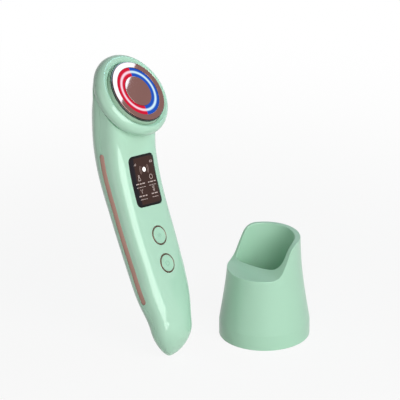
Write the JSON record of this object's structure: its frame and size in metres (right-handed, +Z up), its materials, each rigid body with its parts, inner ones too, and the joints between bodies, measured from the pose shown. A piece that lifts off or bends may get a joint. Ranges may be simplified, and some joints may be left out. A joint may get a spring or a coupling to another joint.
{
  "type": "facial toning device",
  "caption": "Curved hand-held wand with a round lit treatment head, a small display and two push buttons, beside its cup stand with a scooped rim.",
  "frame": {"origin": "centre of the stand's foot, on the surface that it stands on", "axes": "+Z up; -Y towards the low side of the stand's scooped rim; the wand leans with its tail tip on the same surface, to the -Y side of the stand"},
  "size_m": [0.1166, 0.1063, 0.1691],
  "materials": {
    "wand_plastic": "gloss",
    "key_plastic": "satin",
    "stand_plastic": "satin",
    "recess_plastic": "satin",
    "dark_chrome": "polished",
    "mirror_metal": "polished",
    "red_light": "lit",
    "blue_light": "lit",
    "display_glass": "gloss",
    "rose_metal": "satin",
    "dark_plastic": "satin",
    "white_plastic": "satin",
    "ceramic": "matte",
    "circuit_board": "satin",
    "led_lens": "gloss",
    "brass": "satin",
    "steel": "satin",
    "battery_wrap": "gloss",
    "pad_rubber": "matte",
    "foot_rubber": "matte"
  },
  "bodies": {
    "stand": {"stand_body": "stand_plastic", "stand_ballast": "steel", "stand_base_plate": "stand_plastic", "stand_screws": "steel", "stand_foot_pad": "foot_rubber"},
    "wand": {"front_shell": "wand_plastic", "back_shell": "wand_plastic", "head_collar": "wand_plastic", "recess_ring": "recess_plastic", "bezel_ring": "dark_chrome", "outer_electrode": "mirror_metal", "centre_electrode": "mirror_metal", "light_guide_red": "red_light", "light_guide_blue": "blue_light", "disc_carrier": "white_plastic", "heater_plate": "ceramic", "led_board": "circuit_board", "head_leds": "led_lens", "electrode_pins": "brass", "vibration_motor": "steel", "head_screws": "steel", "collar_screws": "steel", "display_window": "display_glass", "display_module": "dark_plastic", "mode_button_ring": "rose_metal", "power_button_ring": "rose_metal", "main_board": "circuit_board", "tact_switches": "dark_plastic", "board_screws": "steel", "battery": "battery_wrap", "battery_pad": "pad_rubber", "charge_socket": "steel", "side_strip_left": "rose_metal", "side_strip_right": "rose_metal", "strip_contacts": "brass"},
    "mode_key": {"mode_button": "key_plastic"},
    "power_key": {"power_button": "key_plastic"}
  },
  "joints": [
    {"name": "handset_lift", "type": "slide", "parent": "stand", "child": "wand", "axis": [0, 0, 1], "range_m": [0, 0.12]},
    {"name": "mode_press", "type": "slide", "parent": "wand", "child": "mode_key", "axis": [-0.8496, -0.2007, -0.4878], "range_m": [0, 0.0006], "stiffness_N_per_m": 2500, "springref_m": -0.0002},
    {"name": "power_press", "type": "slide", "parent": "wand", "child": "power_key", "axis": [-0.8508, -0.2005, -0.4857], "range_m": [0, 0.0006], "stiffness_N_per_m": 2500, "springref_m": -0.0002}
  ]
}
